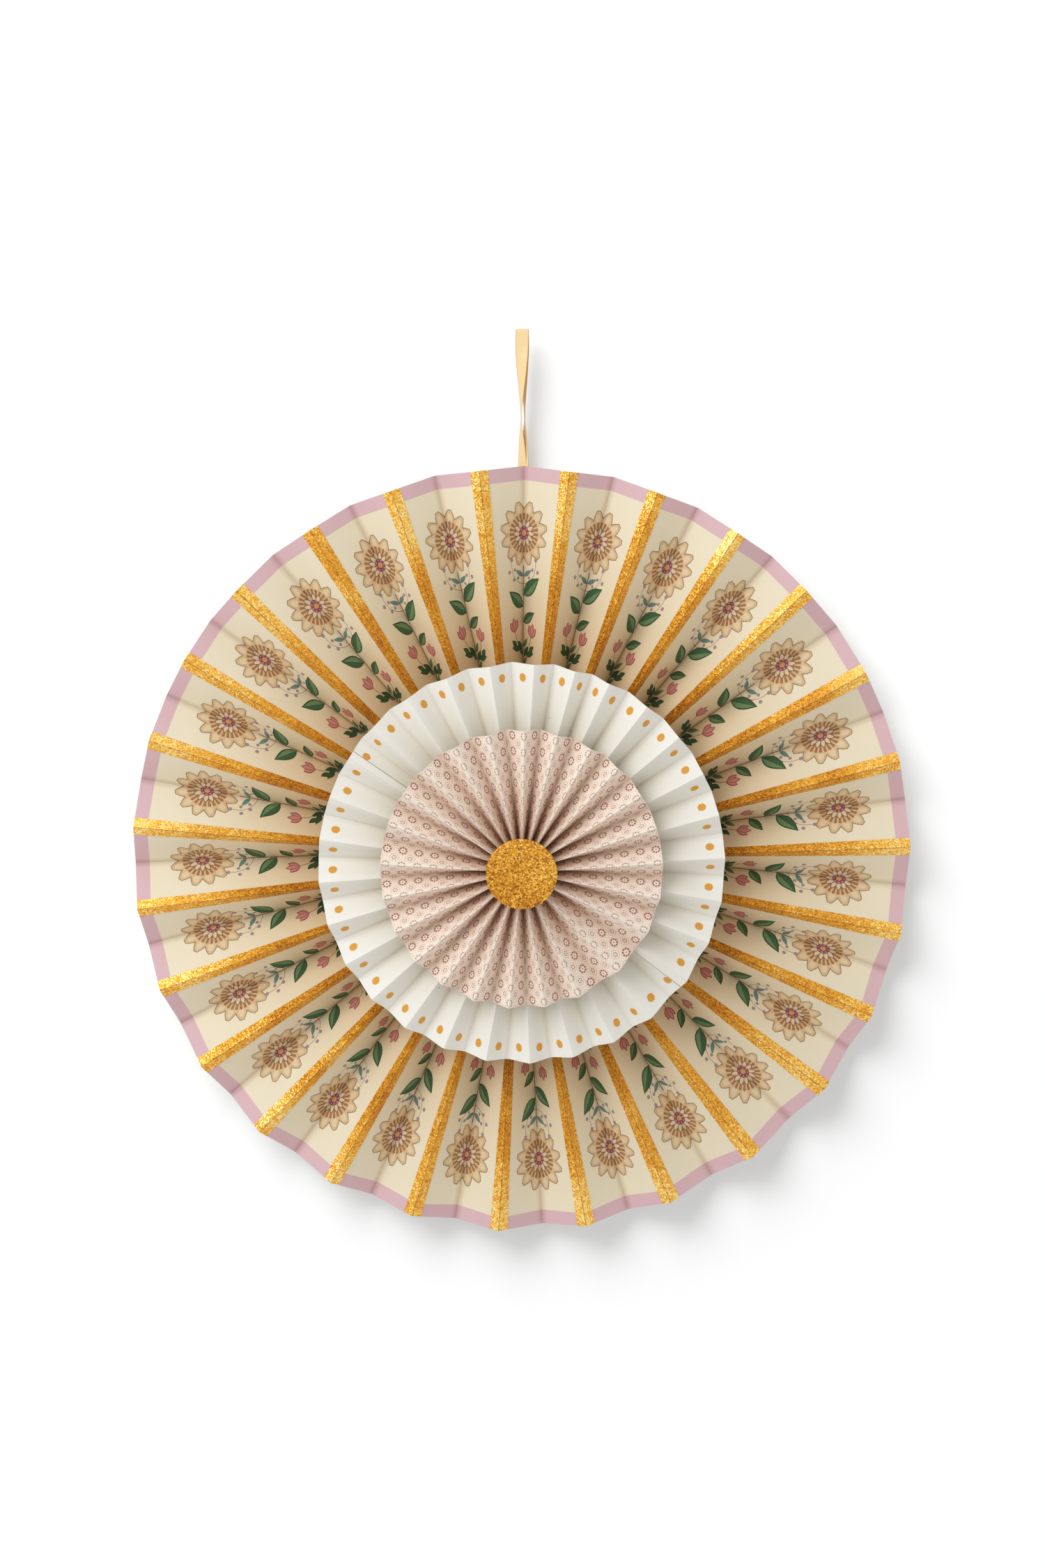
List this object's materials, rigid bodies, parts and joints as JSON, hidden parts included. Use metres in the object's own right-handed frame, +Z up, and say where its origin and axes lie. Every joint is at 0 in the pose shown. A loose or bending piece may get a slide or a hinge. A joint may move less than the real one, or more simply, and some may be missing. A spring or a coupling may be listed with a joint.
{
  "type": "paper fan medallion",
  "caption": "Round wall decoration of stacked pleated paper fans with gold strips along the folds, a glitter centre disc and a ribbon loop to hang it by.",
  "frame": {"origin": "on the wall plane, where the fans' common axis meets the back disc's back face", "axes": "+Z is up as it hangs, the front faces -Y, and +X is to the right seen from the front"},
  "size_m": [0.3998, 0.0657, 0.4738],
  "materials": {
    "cream_paper": "matt printed paper",
    "white_paper": "matt paper",
    "rose_paper": "matt printed paper",
    "gold_glitter_paper": "gold glitter",
    "gold_glitter_card": "dense gold glitter",
    "plain_card": "matt card",
    "foam": "matt foam",
    "glue": "satin",
    "thread": "cotton thread",
    "satin_ribbon": "satin"
  },
  "bodies": {
    "root": {"outer_fan": "cream_paper", "middle_fan": "white_paper", "inner_fan": "rose_paper", "gold_strips": "gold_glitter_paper", "centre_disc": "gold_glitter_card", "back_disc": "plain_card", "lower_pad": "foam", "upper_pad": "foam", "disc_pad": "foam", "back_pad": "glue", "outer_tie": "thread", "middle_tie": "thread", "inner_tie": "thread", "hanging_ribbon": "satin_ribbon"}
  },
  "joints": []
}
